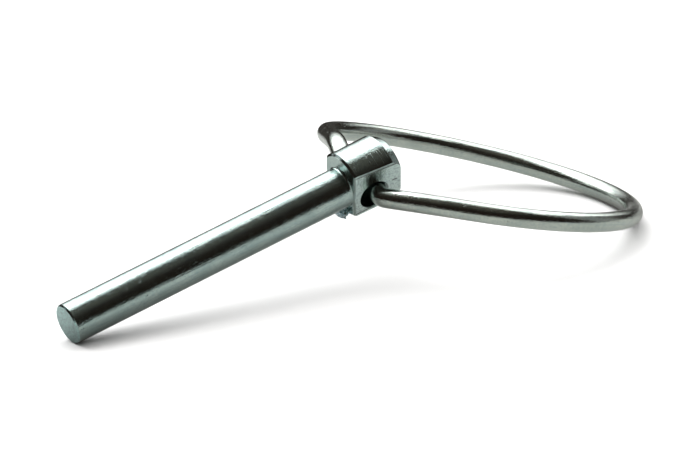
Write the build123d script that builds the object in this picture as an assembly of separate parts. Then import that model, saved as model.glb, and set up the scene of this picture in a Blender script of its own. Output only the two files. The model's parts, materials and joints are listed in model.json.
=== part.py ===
"""Lynch pin: a turned steel pin with a flatted head, and a round spring-wire ring that swings on it."""
import math
import os

from build123d import *

# Driving dimensions, millimetres and degrees

# Shank, a straight round bar along X with its tip at -X
shank_diameter = 10.0
shank_length = 78.0
tip_chamfer = 0.4

# Head, turned round with two milled flats, its front face at X = 0
head_diameter = 16.4
head_length = 13.0
head_offset_up = 0.9
head_offset_near = 0.5
head_front_chamfer = 0.55
head_back_chamfer_length = 2.2
head_back_chamfer_depth = 1.3
head_back_fillet = 0.6
head_root_fillet = 0.45

# Flats, milled a little askew of the shank and off its middle
across_flats = 12.1
flats_offset_far = 0.25
flats_yaw_angle = 3.2
flats_front_round = 0.8

# Cross bores, one in each flat, offset to opposite sides of the pivot line
pivot_from_face = 6.1
pivot_drop = 0.3
bore_diameter = 7.4
bore_depth = 5.1
bore_countersink = 0.3
bore_offset_along = 0.7
bore_offset_across = 0.75

# Ring, one turn of round spring wire whose two ends point into the bores
wire_diameter = 4.8
wire_end_chamfer = 0.5
wire_insertion = 4.5
near_leg_length = 2.45
far_leg_length = 1.9
near_bend_radius = 3.2
far_bend_radius = 6.0
ring_radius = 38.8
ring_reach = 40.2
ring_lift = 1.7
ring_twist = 9.1
ring_droop_angle = 32.7
ring_roll_angle = 22.3

# Corners of the ring's route about its middle, and the share of each run that its arcs take up
shoulder_radius = 39.3
near_shoulder_angle = 150.0
far_shoulder_angle = 160.0
corner_step_angle = 30.0
corners_each_side = 4
arc_share = 0.98

# How the pin lies, on its tip and on the low side of the ring, with the head raised between them
rest_roll_angle = 24.62
rest_pitch_angle = -13.24

# One overrun serves all cuts
overrun = 1.0

# Worked out from the driving dimensions
shank_radius = shank_diameter / 2
head_radius = head_diameter / 2
near_flat = across_flats / 2 - flats_offset_far
far_flat = across_flats / 2 + flats_offset_far
bore_radius = bore_diameter / 2
wire_radius = wire_diameter / 2
pivot = Vector(pivot_from_face, 0, -pivot_drop)

# The near side of the pin, where the lower bore is, faces -Y
near_side = Vector(0, -1, 0)


def turned(outline):
    """Solid of revolution about X from (x, radius) points."""
    return revolve(make_face(Polyline(*outline, close=True)), axis=Axis.X)


def make_shank():
    """Straight round bar that ends in a small chamfer."""
    outline = [
        (-shank_length, 0),
        (-shank_length, shank_radius - tip_chamfer),
        (-shank_length + tip_chamfer, shank_radius),
        (head_length / 2, shank_radius),
        (head_length / 2, 0),
    ]
    return turned(outline)


def make_head():
    """Round head, a little off the shank's centre, with a long bevel at its back."""
    bevel_start = head_length - head_back_chamfer_length
    outline = [
        (0, 0),
        (0, head_radius - head_front_chamfer),
        (head_front_chamfer, head_radius),
        (bevel_start, head_radius),
        (head_length, head_radius - head_back_chamfer_depth),
        (head_length, 0),
    ]
    head = turned(outline)
    back_rim = head.edges().filter_by(GeomType.CIRCLE).group_by(Axis.X)[-1]
    head = fillet(back_rim, head_back_fillet)
    return Pos(0, -head_offset_near, head_offset_up) * head


def make_flat_cutters():
    """Two blocks that leave the head's flats standing, turned together about the pivot's place."""
    length = 2 * head_length + 2 * overrun
    height = head_diameter + 2 * head_offset_up + 2 * overrun
    depth = head_radius
    turn = Pos(pivot_from_face, 0, 0) * Rot(0, 0, -flats_yaw_angle)
    near_block = turn * Pos(0, -near_flat - depth / 2, 0) * Box(length, depth, height)
    far_block = turn * Pos(0, far_flat + depth / 2, 0) * Box(length, depth, height)
    return [near_block, far_block]


def make_bore(side):
    """Flat-bottomed bore with a small countersink, entering one flat (side -1 near, 1 far)."""
    mouth = Pos(
        pivot.X + side * bore_offset_along,
        far_flat if side > 0 else -near_flat,
        pivot.Z + side * bore_offset_across,
    ) * Rot(-side * 90, 0, 0)
    hole = Pos(0, 0, (overrun - bore_depth) / 2) * Cylinder(bore_radius, bore_depth + overrun)
    rim = Pos(0, 0, (overrun - bore_countersink) / 2) * Cone(
        bore_radius, bore_radius + bore_countersink + overrun, bore_countersink + overrun
    )
    return mouth * (hole + rim)


def make_pin():
    """Shank and head in one piece, with root fillet, flats rounded at the front, and bores."""
    pin = make_shank() + make_head()
    root = [
        edge
        for edge in pin.edges().filter_by(GeomType.CIRCLE)
        if abs(edge.radius - shank_radius) < tip_chamfer / 2 and abs(edge.center().X) < tip_chamfer / 2
    ]
    pin = fillet(root, head_root_fillet)
    for block in make_flat_cutters():
        pin -= block
    straight = pin.edges().filter_by(GeomType.LINE)
    front_edges = [edge for edge in straight if abs(edge.center().X) < head_front_chamfer / 2]
    pin = fillet(front_edges, flats_front_round)
    for side in (-1, 1):
        pin -= make_bore(side)
    return pin


def ring_axes():
    """Directions out from the head, across the ring, and square to its plane."""
    droop = math.radians(ring_droop_angle)
    roll = math.radians(ring_roll_angle)
    out = Vector(math.cos(droop), 0, -math.sin(droop))
    up = Vector(math.sin(droop), 0, math.cos(droop))
    normal = up * math.cos(roll) - near_side * math.sin(roll)
    across = near_side * math.cos(roll) + up * math.sin(roll)
    return out, across, normal


def bend_radius(before, corner, after):
    """Radius of the arc that takes up about half of the shorter run at a corner."""
    incoming = corner - before
    outgoing = after - corner
    shorter = min(incoming.length, outgoing.length)
    turn = math.radians(incoming.get_angle(outgoing))
    return arc_share * shorter / 2 / math.tan(turn / 2)


def ring_route():
    """Corners of the wire's route, from the near end round to the far end, with a bend radius each."""
    out, across, normal = ring_axes()
    middle = pivot + out * ring_reach + normal * ring_lift
    corner_radius = ring_radius / math.cos(math.radians(corner_step_angle / 2))
    steps = range(corners_each_side, -corners_each_side - 1, -1)
    turns = [(corner_step_angle * step, corner_radius) for step in steps]
    turns = [(near_shoulder_angle, shoulder_radius), *turns, (-far_shoulder_angle, shoulder_radius)]
    loop = []
    for turn, radius in turns:
        angle = math.radians(turn)
        spoke = out * math.cos(angle) + across * math.sin(angle)
        loop.append(middle + spoke * radius - normal * (ring_twist * turn / 360))
    near_leg = [near_flat - wire_insertion, near_flat + near_leg_length]
    far_leg = [-far_flat - far_leg_length, wire_insertion - far_flat]
    near_points = [pivot + near_side * reach for reach in near_leg]
    far_points = [pivot + near_side * reach for reach in far_leg]
    corners = [*near_points, *loop, *far_points]
    loop_radii = [bend_radius(*corners[i - 1 : i + 2]) for i in range(2, len(corners) - 2)]
    return corners, [near_bend_radius, *loop_radii, far_bend_radius]


def make_ring():
    """Round wire swept along straight runs and tangent arcs, its ends lightly chamfered."""
    corners, radii = ring_route()
    path = FilletPolyline(*corners, radius=radii)
    wire = sweep((path ^ 0) * Circle(wire_radius), path=path)
    ends = wire.faces().filter_by(GeomType.PLANE)
    return chamfer(ends.edges(), wire_end_chamfer)


def resting_place(upright):
    """Placement that lies the pieces on the floor, the middle of their box's underside at the origin."""
    turn = Rot(0, rest_pitch_angle, 0) * Rot(rest_roll_angle, 0, 0)
    box = Compound([turn * piece for piece in upright.values()]).bounding_box()
    middle = box.center()
    return Pos(-middle.X, -middle.Y, -box.min.Z) * turn


upright_pieces = {"pin": make_pin(), "ring": make_ring()}
placement = resting_place(upright_pieces)

os.makedirs("parts", exist_ok=True)
for name, piece in upright_pieces.items():
    export_step(placement * piece, f"parts/{name}.step")
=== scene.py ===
"""Looks of the lynch pin: bright zinc-plated steel that lies on a plain pale floor."""
import json
import math
from collections import namedtuple

import bmesh
import bpy
from mathutils import Euler, Matrix, Vector, noise


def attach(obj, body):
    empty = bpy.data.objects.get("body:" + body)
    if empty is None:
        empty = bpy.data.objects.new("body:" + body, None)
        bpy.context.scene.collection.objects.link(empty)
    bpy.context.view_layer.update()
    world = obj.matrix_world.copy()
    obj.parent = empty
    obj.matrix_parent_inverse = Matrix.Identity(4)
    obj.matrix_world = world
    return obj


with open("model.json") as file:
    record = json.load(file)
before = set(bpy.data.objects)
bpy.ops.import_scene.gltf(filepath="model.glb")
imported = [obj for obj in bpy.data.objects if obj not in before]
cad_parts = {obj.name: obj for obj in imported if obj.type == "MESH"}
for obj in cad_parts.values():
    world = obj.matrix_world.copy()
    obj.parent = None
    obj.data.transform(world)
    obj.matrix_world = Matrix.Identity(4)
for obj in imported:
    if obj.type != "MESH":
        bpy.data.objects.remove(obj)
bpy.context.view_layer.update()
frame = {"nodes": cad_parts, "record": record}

# Colours of plating: its light and deep clouds, and what blotches, grain and streaks turn it to
Zinc = namedtuple("Zinc", "light deep clouded")

# Noise of a pattern: scale per millimetre, detail and roughness
Noise = namedtuple("Noise", "scale detail roughness", defaults=(3.0, 0.55))

# Bump of a pattern: strength, and depth in millimetres
Relief = namedtuple("Relief", "strength depth")

# Relief of a piece's streaks and of its slow ripple, and its range of roughness
Finish = namedtuple("Finish", "streaks ripple rough_low rough_high")

# Range of a value: within half_width of the middle, with edges that fade over soft
Band = namedtuple("Band", "middle half_width soft")

# Scratch around the head: place along the pin, middle and half length as angles, half width
Scratch = namedtuple("Scratch", "along angle half_turn half_width")

# Metres in a millimetre
MM = 0.001

# Camera, as the photograph was taken, for a picture of 700 x 466: degrees, metres, lens in millimetres
VIEW_AZIMUTH = -120.66
VIEW_ELEVATION = 17.82
VIEW_ROLL = 2.99
VIEW_DISTANCE = 1.4272
VIEW_TARGET = Vector((-0.00364, -0.01286, 0.01218))
VIEW_LENS = 308.6
VIEW_SENSOR = 36.0

# Ring's place on the pin, degrees and millimetres, as in the part's source
RING_DROOP = 32.7
RING_ROLL = 22.3
RING_REACH = 40.2
RING_LIFT = 1.7
PIVOT = Vector((6.1, 0, -0.3))

# Forms of the pin that its plating follows, in the pin's own axes, millimetres and degrees
HEAD_START = (-0.05, 0.1)
HEAD_NEAR = 0.5
HEAD_UP = 0.9
FLAT_ACROSS = Band(-5.8, 0.03, 0.05)
FLAT_YAW = 3.2
TIP_END = (-77.75, -77.65)

# Marks on the near flat: a dark line of painted shade and a rough strip by its edge, as distances from the
# head's middle line, and a nick and a burr, along the pin and up from the shank's middle line
EDGE_SHADE_LINE = Band(7.72, 0.07, 0.08)
EDGE_STRIP = (7.80, 7.90)
NICK_ALONG = Band(11.2, 0.55, 0.25)
NICK_UP = Band(1.2, 0.1, 0.12)
BURR_ALONG = Band(0.9, 0.7, 0.4)
BURR_UP = (5.6, 6.4)

# Turning scratches on the head's round, millimetres and radians, and how softly they end
HEAD_SCRATCHES = (
    Scratch(5.6, 1.24, 0.10, 0.01),
    Scratch(6.9, 1.20, 0.16, 0.02),
    Scratch(8.6, 1.14, 0.24, 0.02),
    Scratch(9.3, 1.26, 0.10, 0.01),
    Scratch(10.2, 1.22, 0.18, 0.02),
    Scratch(1.3, 1.00, 0.22, 0.02),
)
SCRATCH_SOFT_ACROSS = 0.06
SCRATCH_SOFT_ALONG = 0.12

# Plating of each piece. The near flat and the tip's end face get paler copies of the pin's plating, a
# painted sheen for the brighter light they mirror
PIN_ZINC = Zinc((0.440, 0.535, 0.500, 1), (0.360, 0.455, 0.430, 1), (0.270, 0.370, 0.380, 1))
RING_ZINC = Zinc((0.500, 0.545, 0.490, 1), (0.420, 0.470, 0.425, 1), (0.320, 0.385, 0.380, 1))
LUMP_ZINC = Zinc((0.300, 0.460, 0.520, 1), (0.045, 0.085, 0.130, 1), (0.750, 0.850, 0.850, 1))
FLAT_SHEEN_ZINC = PIN_ZINC._replace(light=(0.720, 0.860, 0.825, 1), deep=(0.600, 0.740, 0.710, 1))
TIP_SHEEN_ZINC = PIN_ZINC._replace(light=(0.540, 0.780, 0.760, 1), deep=(0.490, 0.720, 0.700, 1))
# Dark colour of the flecks and the nick, and of the painted shade line along the near flat's edge
GRIME_AND_EDGE_SHADE = (0.045, 0.042, 0.038, 1)
PIN_FINISH = Finish(Relief(0.6, 0.055), Relief(0.12, 0.3), rough_low=0.09, rough_high=0.18)
RING_FINISH = Finish(Relief(0.6, 0.065), Relief(0.05, 0.3), rough_low=0.07, rough_high=0.15)
LUMP_FINISH = Finish(Relief(0.6, 0.3), Relief(0.2, 0.3), rough_low=0.03, rough_high=0.1)

# Patterns of all plating, and relief that is the same on all pieces
CLOUDS = Noise(0.16, 4.0)
BLOTCHES = Noise(0.55, 5.0, 0.65)
GRAIN = Noise(2.2, 3.0, 0.6)
GLOSS = Noise(0.9, 4.0)
RIPPLE = Noise(0.35, 2.0)
GRAIN_RELIEF = Relief(0.7, 0.07)
SCUFF_RELIEF = Relief(0.3, 0.03)
DARK_RELIEF = Relief(0.4, 0.08)

# Patterns of one piece or place
DRAWN_STREAKS = Noise(3.0, 4.0)
TURNED_STREAKS = Noise(2.6, 2.0)
SCRATCH_BREAKS = Noise(1.4)
BURR_BREAKS = Noise(2.6)
WIRE_SCUFFS = Noise(1.1)
LUMP_STREAKS = Noise(1.3)
LUMP_PATCHES = Noise(0.9)

# Flecks: scale of their cells and of the noise that bends their outlines, the range of chance that picks
# a cell and sizes its fleck, the largest fleck's radius, and where the fleck's edge fades, in cells
FLECK_SCALE = 0.8
FLECK_WARP_SCALE = 3.0
FLECK_CHANCE = (0.55, 1.0)
FLECK_RADIUS = 0.15
FLECK_EDGE = (0.0, 0.06)

# Range of noise over which each pattern comes in
CLOUD_RANGE = (0.35, 0.7)
BLOTCH_RANGE = (0.52, 0.72)
GRAIN_RANGE = (0.42, 0.66)
STREAK_RANGE = (0.46, 0.68)
GLOSS_RANGE = (0.3, 0.75)
WIRE_SCUFF_RANGE = (0.55, 0.75)

# What a coordinate is multiplied by to draw patterns out: along the shank, around the head, and along
# the ring, where it turns radians into millimetres
SHANK_STREAK_SHRINK = 0.04
SHANK_FLECK_SHRINK = 0.35
TURNING_SHRINK = 0.05
RING_STREAK_TURN = 0.7
RING_SCUFF_TURN = 2.0
RING_FLECK_TURN = 13.5

# How strongly each pattern shows
BLOTCH_SHARE = 0.45
GRAIN_SHARE = 0.55
STREAK_SHARE = 0.6
FLECK_SHARE = 0.7
MARK_SHARE = 0.8
TURNING_SHARE = 0.3
WIRE_SCUFF_SHARE = 0.35

# Roughness that streaks, dark marks and scuffs add
STREAK_ROUGH = 0.08
DARK_ROUGH = 0.3
SCUFF_ROUGH = 0.28

# Lump of plating in the pin's axes, millimetres, and its swellings: size, scale and where the noise is read
LUMP_PLACE = Vector((-0.85, -1.0, -6.45))
LUMP_RADII = Vector((1.5, 2.5, 1.55))
LUMP_SWELLINGS = (
    (0.30, 1.7, Vector((3.1, 0.4, 7.7))),
    (0.24, 3.2, Vector((1.0, 5.2, 2.3))),
)

# Floor, and the oval sheet that the metal mirrors in its place, a painted reflection with a painted shadow
# under the shank and a painted glow beside it: metres, the edge in shares of the half size
FLOOR_RADIUS = 4.0
FLOOR_COLOUR = (0.86, 0.86, 0.86, 1)
CARD_BACK = 0.020
CARD_LEFT = 0.1
CARD_HALF_SIZE = (0.115, 0.4, 1)
CARD_EDGE = (0.86, 1.15)
# Painted shadow: the sheet is darker under the shank, over this reach beside its ground line
CARD_SHADOW_UNDER_SHANK = (0.72, 0.72, 0.70, 1)
CARD_BESIDE_SHANK = (0.95, 0.95, 0.92, 1)
CARD_SHADOW_REACH = 0.010
# Dark beyond the oval's edge, a painted dark reflection
CARD_BEYOND = (0.035, 0.030, 0.025, 1)
# Painted glow of the sheet, though it is no lamp
CARD_GLOW = (0.34, 0.35, 0.34, 1)
CARD_GLOW_REACH = (0.002, 0.028)
BLACK = (0, 0, 0, 1)

# Room that the metal mirrors: heights from 0 level to 1 overhead, and colours there
ROOM_LOW = (0.05, (0.0220, 0.0135, 0.0105, 1))
ROOM_MIDDLE = (0.62, (0.030, 0.024, 0.019, 1))
ROOM_HIGH = (1.0, (0.150, 0.138, 0.120, 1))
BACKDROP = (0.92, 0.92, 0.92, 1)


def pin_frame():
    """The pin's axes in the row's frame: X to the head, -Y the near side, origin at the head's front."""
    record = frame["record"]
    hinge = record["behaviour"]["joints"][0]
    mounts = {mount["name"]: mount for mount in record["mounts"]}
    along = -Vector(mounts["shank"]["axis"])
    far = -Vector(hinge["axis"])
    up = along.cross(far)
    on_axis = Vector(mounts["shank"]["pos_m"])
    face = Vector(mounts["head_face"]["pos_m"])
    origin = on_axis + along * (face - on_axis).dot(along)
    axes = Matrix((along, far, up)).transposed().to_4x4()
    return Matrix.Translation(origin) @ axes


def ring_frame(pin):
    """The ring's axes in the row's frame: Z square to the loop, origin at the loop's middle."""
    droop = math.radians(RING_DROOP)
    roll = math.radians(RING_ROLL)
    out = Vector((math.cos(droop), 0, -math.sin(droop)))
    rise = Vector((math.sin(droop), 0, math.cos(droop)))
    normal = rise * math.cos(roll) + Vector((0, 1, 0)) * math.sin(roll)
    across = normal.cross(out)
    middle = (PIVOT + out * RING_REACH + normal * RING_LIFT) * MM
    axes = Matrix((out, across, normal)).transposed().to_4x4()
    return pin @ Matrix.Translation(middle) @ axes


class Tree:
    """A material's node tree, with short calls to add and join nodes."""

    def __init__(self, name):
        self.material = bpy.data.materials.new(name)
        self.material.use_nodes = True
        self.nodes = self.material.node_tree.nodes
        self.links = self.material.node_tree.links
        self.shader = self.nodes["Principled BSDF"]

    def add(self, kind, settings, inputs):
        """A node with its settings, and its inputs by name or number, each a value or an output."""
        made = self.nodes.new(kind)
        for key, value in settings.items():
            setattr(made, key, value)
        for key, value in inputs.items():
            self.join(value, made.inputs[key])
        return made

    def join(self, value, socket):
        """Links an output to a socket, or sets the socket's own value."""
        if isinstance(value, bpy.types.NodeSocket):
            self.links.new(value, socket)
        else:
            socket.default_value = value

    def calculate(self, operation, first, second=0.0):
        """Result of one math operation."""
        made = self.add("ShaderNodeMath", {"operation": operation}, {0: first, 1: second})
        return made.outputs[0]

    def plus(self, first, second):
        """Sum of two values."""
        return self.calculate("ADD", first, second)

    def minus(self, first, second):
        """First value less the second."""
        return self.calculate("SUBTRACT", first, second)

    def times(self, first, second):
        """Product of two values."""
        return self.calculate("MULTIPLY", first, second)

    def larger(self, first, second):
        """Larger of two values."""
        return self.calculate("MAXIMUM", first, second)

    def distance(self, x, y):
        """Distance of a point from the origin in two axes."""
        return self.calculate("SQRT", self.plus(self.times(x, x), self.times(y, y)))

    def ramp(self, value, low, high, to_low=0.0, to_high=1.0):
        """Smooth step of a value from low..high to to_low..to_high."""
        inputs = {"Value": value, "From Min": low, "From Max": high, "To Min": to_low, "To Max": to_high}
        made = self.add("ShaderNodeMapRange", {"interpolation_type": "SMOOTHSTEP"}, inputs)
        return made.outputs["Result"]

    def band(self, value, middle, half_width, soft):
        """1 where a value lies within half_width of the middle, falling to 0 over soft."""
        away = self.calculate("ABSOLUTE", self.minus(value, middle))
        return self.ramp(away, half_width, half_width + soft, 1.0, 0.0)

    def mix(self, share, first, second):
        """Colour between two colours."""
        made = self.add("ShaderNodeMix", {"data_type": "RGBA"}, {})
        self.join(share, made.inputs["Factor"])
        self.join(first, made.inputs[6])
        self.join(second, made.inputs[7])
        return made.outputs[2]

    def local(self, frame_matrix):
        """Object coordinates in a piece's own axes and in millimetres, whole and as x, y and z."""
        inverse = frame_matrix.inverted()
        place = self.add("ShaderNodeTexCoord", {}, {}).outputs["Object"]
        turned = self.add(
            "ShaderNodeMapping",
            {"vector_type": "POINT"},
            {
                "Vector": place,
                "Scale": (1 / MM,) * 3,
                "Rotation": inverse.to_euler("XYZ"),
                "Location": inverse.translation / MM,
            },
        ).outputs["Vector"]
        parts = self.add("ShaderNodeSeparateXYZ", {}, {"Vector": turned}).outputs
        return turned, (parts["X"], parts["Y"], parts["Z"])

    def vector(self, x, y, z):
        """Vector put together from three values."""
        return self.add("ShaderNodeCombineXYZ", {}, {"X": x, "Y": y, "Z": z}).outputs["Vector"]

    def noise(self, vector, kind):
        """Cloudy noise from 0 to 1."""
        inputs = {"Scale": kind.scale, "Detail": kind.detail, "Roughness": kind.roughness}
        return self.add("ShaderNodeTexNoise", {}, {"Vector": vector, **inputs}).outputs["Fac"]

    def bump(self, height, relief, normal=None):
        """Normal bent by a height, on top of an earlier normal."""
        inputs = {"Height": height, "Strength": relief.strength, "Distance": relief.depth * MM}
        if normal is not None:
            inputs["Normal"] = normal
        return self.add("ShaderNodeBump", {}, inputs).outputs["Normal"]


def flecks(tree, place, drawn):
    """Dark flecks of uneven size and outline, in some of the cells of a pattern."""
    warp = tree.add("ShaderNodeTexNoise", {}, {"Vector": place, "Scale": FLECK_WARP_SCALE})
    sides = {0: drawn, 1: warp.outputs["Color"]}
    warped = tree.add("ShaderNodeVectorMath", {"operation": "ADD"}, sides).outputs["Vector"]
    pattern = {"Vector": warped, "Scale": FLECK_SCALE}
    cells = tree.add("ShaderNodeTexVoronoi", {"feature": "F1"}, pattern).outputs
    chosen = tree.add("ShaderNodeSeparateColor", {}, {"Color": cells["Color"]}).outputs["Red"]
    radius = tree.ramp(chosen, *FLECK_CHANCE, 0.0, FLECK_RADIUS)
    return tree.ramp(tree.minus(radius, cells["Distance"]), *FLECK_EDGE, 0.0, FLECK_SHARE)


def plating(tree, place, drawn, zinc, finish, streaks, scuffs, marks=0.0):
    """Bright zinc with clouds, grain, streaks, scuffs, flecks and marks, in colour, roughness and bump.

    place is a point in the piece's own axes, and drawn is that point shrunk the way the metal was drawn,
    so that flecks come out longer that way.
    """
    grain = tree.noise(place, GRAIN)
    dark = tree.larger(flecks(tree, place, drawn), marks)
    cloud = tree.ramp(tree.noise(place, CLOUDS), *CLOUD_RANGE)
    blotch = tree.ramp(tree.noise(place, BLOTCHES), *BLOTCH_RANGE, 0.0, BLOTCH_SHARE)
    colour = tree.mix(cloud, zinc.light, zinc.deep)
    colour = tree.mix(blotch, colour, zinc.clouded)
    colour = tree.mix(tree.ramp(grain, *GRAIN_RANGE, 0.0, GRAIN_SHARE), colour, zinc.clouded)
    colour = tree.mix(tree.ramp(streaks, *STREAK_RANGE, 0.0, STREAK_SHARE), colour, zinc.clouded)
    # Dark flecks and marks, with the painted shade line along the near flat's edge
    colour = tree.mix(dark, colour, GRIME_AND_EDGE_SHADE)
    gloss = tree.noise(place, GLOSS)
    rough = tree.ramp(gloss, *GLOSS_RANGE, finish.rough_low, finish.rough_high)
    rough = tree.plus(rough, tree.times(streaks, STREAK_ROUGH))
    rough = tree.plus(rough, tree.times(dark, DARK_ROUGH))
    rough = tree.plus(rough, tree.times(scuffs, SCUFF_ROUGH))
    normal = tree.bump(tree.noise(place, RIPPLE), finish.ripple)
    normal = tree.bump(streaks, finish.streaks, normal)
    normal = tree.bump(grain, GRAIN_RELIEF, normal)
    normal = tree.bump(tree.minus(1.0, scuffs), SCUFF_RELIEF, normal)
    normal = tree.bump(tree.minus(1.0, dark), DARK_RELIEF, normal)
    tree.join(colour, tree.shader.inputs["Base Color"])
    tree.join(rough, tree.shader.inputs["Roughness"])
    tree.join(normal, tree.shader.inputs["Normal"])
    tree.shader.inputs["Metallic"].default_value = 1.0


def flat_area(tree, x, y, on_head):
    """1 on the near flat, which is milled a little askew."""
    yaw = math.radians(FLAT_YAW)
    across = tree.times(tree.minus(x, PIVOT.x), math.sin(yaw))
    across = tree.plus(across, tree.times(y, math.cos(yaw)))
    return tree.times(on_head, tree.band(across, *FLAT_ACROSS))


def head_round(tree, y, z):
    """Distance from the head's middle line, and angle about it, upwards from the near side."""
    near = tree.times(tree.plus(y, HEAD_NEAR), -1.0)
    up = tree.minus(z, HEAD_UP)
    return tree.distance(near, up), tree.calculate("ARCTAN2", up, near)


def head_scratches(tree, place, x, angle):
    """Turning scratches around the head, broken up by noise."""
    scratches = 0.0
    for scratch in HEAD_SCRATCHES:
        across = tree.band(x, scratch.along, scratch.half_width, SCRATCH_SOFT_ACROSS)
        length = tree.band(angle, scratch.angle, scratch.half_turn, SCRATCH_SOFT_ALONG)
        scratches = tree.larger(tree.times(across, length), scratches)
    return tree.times(scratches, tree.noise(place, SCRATCH_BREAKS))


def pin_streaks(tree, x, y, z, on_head):
    """Streaks along the drawn shank, and fainter ones around the turned head."""
    along = tree.vector(tree.times(x, SHANK_STREAK_SHRINK), y, z)
    drawn = tree.noise(along, DRAWN_STREAKS)
    around = tree.vector(x, tree.times(y, TURNING_SHRINK), tree.times(z, TURNING_SHRINK))
    turned = tree.times(tree.noise(around, TURNED_STREAKS), TURNING_SHARE)
    return tree.plus(drawn, tree.times(on_head, tree.minus(turned, drawn)))


def pin_steel(pin):
    """Plating over a drawn shank and a turned head with milled flats."""
    tree = Tree("pin_zinc_plate")
    place, (x, y, z) = tree.local(pin)
    on_head = tree.ramp(x, *HEAD_START)
    on_tip = tree.ramp(x, *TIP_END, 1.0, 0.0)
    near_flat = flat_area(tree, x, y, on_head)
    radius, angle = head_round(tree, y, z)
    nick = tree.times(tree.band(x, *NICK_ALONG), tree.band(z, *NICK_UP))
    # Dark marks on the near flat: the nick, and a painted shade line along the flat's edge
    marks = tree.larger(nick, tree.band(radius, *EDGE_SHADE_LINE))
    marks = tree.times(tree.times(marks, near_flat), MARK_SHARE)
    burr = tree.times(tree.band(x, *BURR_ALONG), tree.ramp(z, *BURR_UP))
    burr = tree.times(burr, tree.noise(place, BURR_BREAKS))
    worn = tree.times(tree.larger(tree.ramp(radius, *EDGE_STRIP), burr), near_flat)
    scratches = tree.times(head_scratches(tree, place, x, angle), on_head)
    # Paler plating on the near flat and the tip's end face is a painted sheen for the brighter light they
    # mirror
    zinc = Zinc(
        tree.mix(on_tip, tree.mix(near_flat, PIN_ZINC.light, FLAT_SHEEN_ZINC.light), TIP_SHEEN_ZINC.light),
        tree.mix(on_tip, tree.mix(near_flat, PIN_ZINC.deep, FLAT_SHEEN_ZINC.deep), TIP_SHEEN_ZINC.deep),
        PIN_ZINC.clouded,
    )
    drawn = tree.vector(tree.times(x, SHANK_FLECK_SHRINK), y, z)
    streaks = pin_streaks(tree, x, y, z, on_head)
    scuffs = tree.larger(scratches, worn)
    plating(tree, place, drawn, zinc, PIN_FINISH, streaks, scuffs, marks)
    return tree.material


def ring_steel(ring):
    """Plating over drawn spring wire, with streaks that follow the loop."""
    tree = Tree("ring_zinc_plate")
    place, (x, y, z) = tree.local(ring)
    angle = tree.calculate("ARCTAN2", y, x)
    radius = tree.distance(x, y)
    streaks = tree.noise(tree.vector(tree.times(angle, RING_STREAK_TURN), radius, z), DRAWN_STREAKS)
    wide = tree.noise(tree.vector(tree.times(angle, RING_SCUFF_TURN), radius, z), WIRE_SCUFFS)
    scuffs = tree.ramp(wide, *WIRE_SCUFF_RANGE, 0.0, WIRE_SCUFF_SHARE)
    drawn = tree.vector(tree.times(angle, RING_FLECK_TURN), radius, z)
    plating(tree, place, drawn, RING_ZINC, RING_FINISH, streaks, scuffs)
    return tree.material


def lump_steel(pin):
    """Dark, blue-black plating with pale patches."""
    tree = Tree("lump_zinc_plate")
    place, _ = tree.local(pin)
    streaks = tree.noise(place, LUMP_STREAKS)
    patches = tree.noise(place, LUMP_PATCHES)
    plating(tree, place, place, LUMP_ZINC, LUMP_FINISH, streaks, patches)
    return tree.material


def plating_lump(pin, material):
    """A lump of plating caught under the shank, in the corner at the head's front face."""
    shape = bmesh.new()
    bmesh.ops.create_icosphere(shape, subdivisions=4, radius=1.0)
    for vertex in shape.verts:
        direction = vertex.co.normalized()
        swell = 1.0
        for size, scale, shift in LUMP_SWELLINGS:
            swell += size * noise.noise(direction * scale + shift)
        vertex.co = direction * LUMP_RADII * swell * MM
    mesh = bpy.data.meshes.new("plating_lump")
    shape.to_mesh(mesh)
    shape.free()
    mesh.shade_smooth()
    mesh.materials.append(material)
    mesh.transform(pin @ Matrix.Translation(LUMP_PLACE * MM))
    lump = bpy.data.objects.new("plating_lump", mesh)
    bpy.context.collection.objects.link(lump)
    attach(lump, "pin")


def paint_cad(node, material):
    """Puts a material into every slot of a CAD node."""
    for slot in frame["nodes"][node].material_slots:
        slot.material = material


def towards(azimuth, elevation):
    """Unit vector from the object in a direction, in degrees."""
    turn = math.radians(azimuth)
    rise = math.radians(elevation)
    level = math.cos(rise)
    return Vector((math.cos(turn) * level, math.sin(turn) * level, math.sin(rise)))


def matt_disc(name, tree):
    """Wide flat stage disc at floor height, with a matt surface."""
    tree.shader.inputs["Roughness"].default_value = 0.9
    tree.shader.inputs["Specular IOR Level"].default_value = 0.1
    shape = bmesh.new()
    bmesh.ops.create_circle(shape, cap_ends=True, segments=96, radius=FLOOR_RADIUS)
    mesh = bpy.data.meshes.new(name)
    shape.to_mesh(mesh)
    shape.free()
    mesh.materials.append(tree.material)
    disc = bpy.data.objects.new(name, mesh)
    bpy.context.collection.objects.link(disc)
    return disc


def make_floor():
    """Plain pale floor, wide enough to fill the picture."""
    tree = Tree("pale_floor")
    tree.shader.inputs["Base Color"].default_value = FLOOR_COLOUR
    floor = matt_disc("floor", tree)
    floor.visible_glossy = False
    floor.visible_shadow = False


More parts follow.
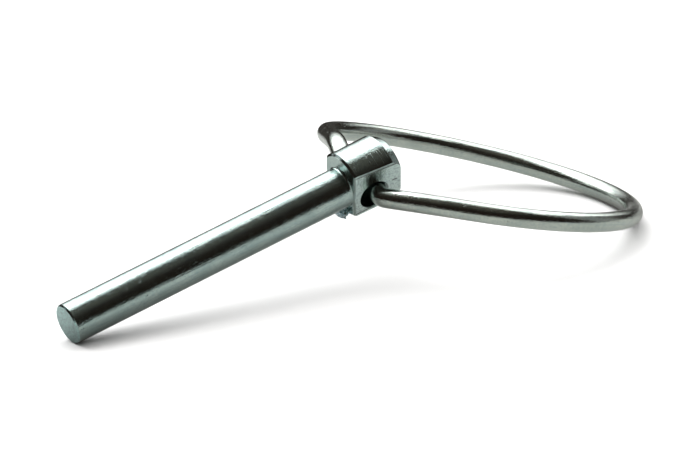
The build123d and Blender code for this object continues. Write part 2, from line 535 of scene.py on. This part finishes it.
def make_reflection_card(pin):
    """Painted reflection: what the metal mirrors in place of the floor.

    It is an oval pale sheet, dark beyond its edge. It is dimmer under the shank, a painted shadow, and
    glows faintly away from it, a painted glow though it is no lamp. The camera doesn't see it.
    """
    tree = Tree("reflection_card")
    place = tree.add("ShaderNodeTexCoord", {}, {}).outputs["Object"]
    back = towards(VIEW_AZIMUTH, 0) * -CARD_BACK
    left = towards(VIEW_AZIMUTH + 90, 0) * -CARD_LEFT
    turned = tree.add(
        "ShaderNodeMapping",
        {"vector_type": "TEXTURE"},
        {
            "Vector": place,
            "Location": back + left,
            "Rotation": (0, 0, math.radians(VIEW_AZIMUTH)),
            "Scale": CARD_HALF_SIZE,
        },
    ).outputs["Vector"]
    away = tree.add("ShaderNodeVectorMath", {"operation": "LENGTH"}, {0: turned}).outputs["Value"]
    # Dark beyond the oval's edge: painted dark reflection
    beyond = tree.ramp(away, *CARD_EDGE)
    parts = tree.add("ShaderNodeSeparateXYZ", {}, {"Vector": place}).outputs
    beside = tree.calculate("ABSOLUTE", tree.minus(parts["Y"], pin.translation.y))
    # Painted shadow: darker sheet under the shank, paler beside it
    pale = tree.mix(tree.ramp(beside, 0.0, CARD_SHADOW_REACH), CARD_SHADOW_UNDER_SHANK, CARD_BESIDE_SHANK)
    # Painted glow: the sheet glows faintly though it is no lamp
    glow = tree.mix(tree.ramp(beside, *CARD_GLOW_REACH), BLACK, CARD_GLOW)
    tree.join(tree.mix(beyond, pale, CARD_BEYOND), tree.shader.inputs["Base Color"])
    tree.join(tree.mix(beyond, glow, BLACK), tree.shader.inputs["Emission Color"])
    tree.shader.inputs["Emission Strength"].default_value = 1.0
    card = matt_disc("reflection_card", tree)
    card.visible_camera = False
    card.visible_diffuse = False
    card.visible_shadow = False


def add_softbox(name, azimuth, elevation, width, height, radiance, distance=1.5):
    """Rectangular soft light that faces the object, its azimuth counted from the camera's."""
    light = bpy.data.lights.new(name, "AREA")
    light.shape = "RECTANGLE"
    light.size = width
    light.size_y = height
    light.energy = radiance * math.pi * width * height
    lamp = bpy.data.objects.new(name, light)
    direction = towards(VIEW_AZIMUTH + azimuth, elevation)
    lamp.location = direction * distance
    lamp.rotation_euler = direction.to_track_quat("Z", "Y").to_euler()
    bpy.context.collection.objects.link(lamp)
    return lamp


def light_studio():
    """Soft lights behind and to the left, a dim one on the right, and a fill for the floor."""
    add_softbox("back_softbox", azimuth=185, elevation=55.5, width=3.0, height=1.65, radiance=2.7)
    add_softbox("back_glow", azimuth=185, elevation=21.0, width=3.0, height=0.32, radiance=0.9)
    add_softbox("left_softbox", azimuth=-122, elevation=52.0, width=1.2, height=1.6, radiance=2.0)
    add_softbox("right_softbox", azimuth=106, elevation=24.0, width=0.8, height=1.6, radiance=0.35)
    fill = add_softbox(
        "floor_fill", azimuth=0, elevation=62.0, width=3.0, height=3.0, radiance=1.1, distance=2.2
    )
    fill.visible_glossy = False


def make_room():
    """Dark warm room that the metal mirrors, and a pale backdrop that the camera sees instead."""
    world = bpy.data.worlds.new("studio")
    world.use_nodes = True
    nodes = world.node_tree.nodes
    links = world.node_tree.links
    room = nodes["Background"]
    place = nodes.new("ShaderNodeTexCoord")
    parts = nodes.new("ShaderNodeSeparateXYZ")
    links.new(place.outputs["Generated"], parts.inputs["Vector"])
    shade = nodes.new("ShaderNodeValToRGB")
    stops = shade.color_ramp.elements
    stops[0].position, stops[0].color = ROOM_LOW
    stops[1].position, stops[1].color = ROOM_HIGH
    middle_height, middle_colour = ROOM_MIDDLE
    stops.new(middle_height).color = middle_colour
    links.new(parts.outputs["Z"], shade.inputs["Fac"])
    links.new(shade.outputs["Color"], room.inputs["Color"])
    backdrop = nodes.new("ShaderNodeBackground")
    backdrop.inputs["Color"].default_value = BACKDROP
    seen = nodes.new("ShaderNodeLightPath")
    choice = nodes.new("ShaderNodeMixShader")
    links.new(seen.outputs["Is Camera Ray"], choice.inputs["Fac"])
    links.new(room.outputs["Background"], choice.inputs[1])
    links.new(backdrop.outputs["Background"], choice.inputs[2])
    links.new(choice.outputs["Shader"], nodes["World Output"].inputs["Surface"])
    bpy.context.scene.world = world


def place_camera():
    """Long lens at the photograph's angle."""
    data = bpy.data.cameras.new("camera")
    data.lens = VIEW_LENS
    data.sensor_width = VIEW_SENSOR
    camera = bpy.data.objects.new("camera", data)
    direction = towards(VIEW_AZIMUTH, VIEW_ELEVATION)
    level = direction.to_track_quat("Z", "Y")
    rolled = level @ Euler((0, 0, math.radians(-VIEW_ROLL))).to_quaternion()
    camera.location = VIEW_TARGET + direction * VIEW_DISTANCE
    camera.rotation_euler = rolled.to_euler()
    bpy.context.collection.objects.link(camera)
    bpy.context.scene.camera = camera


pin_axes = pin_frame()
ring_axes = ring_frame(pin_axes)
paint_cad("pin", pin_steel(pin_axes))
paint_cad("ring", ring_steel(ring_axes))
plating_lump(pin_axes, lump_steel(pin_axes))
make_floor()
make_reflection_card(pin_axes)
light_studio()
make_room()
place_camera()
bpy.context.scene.view_settings.view_transform = "Standard"
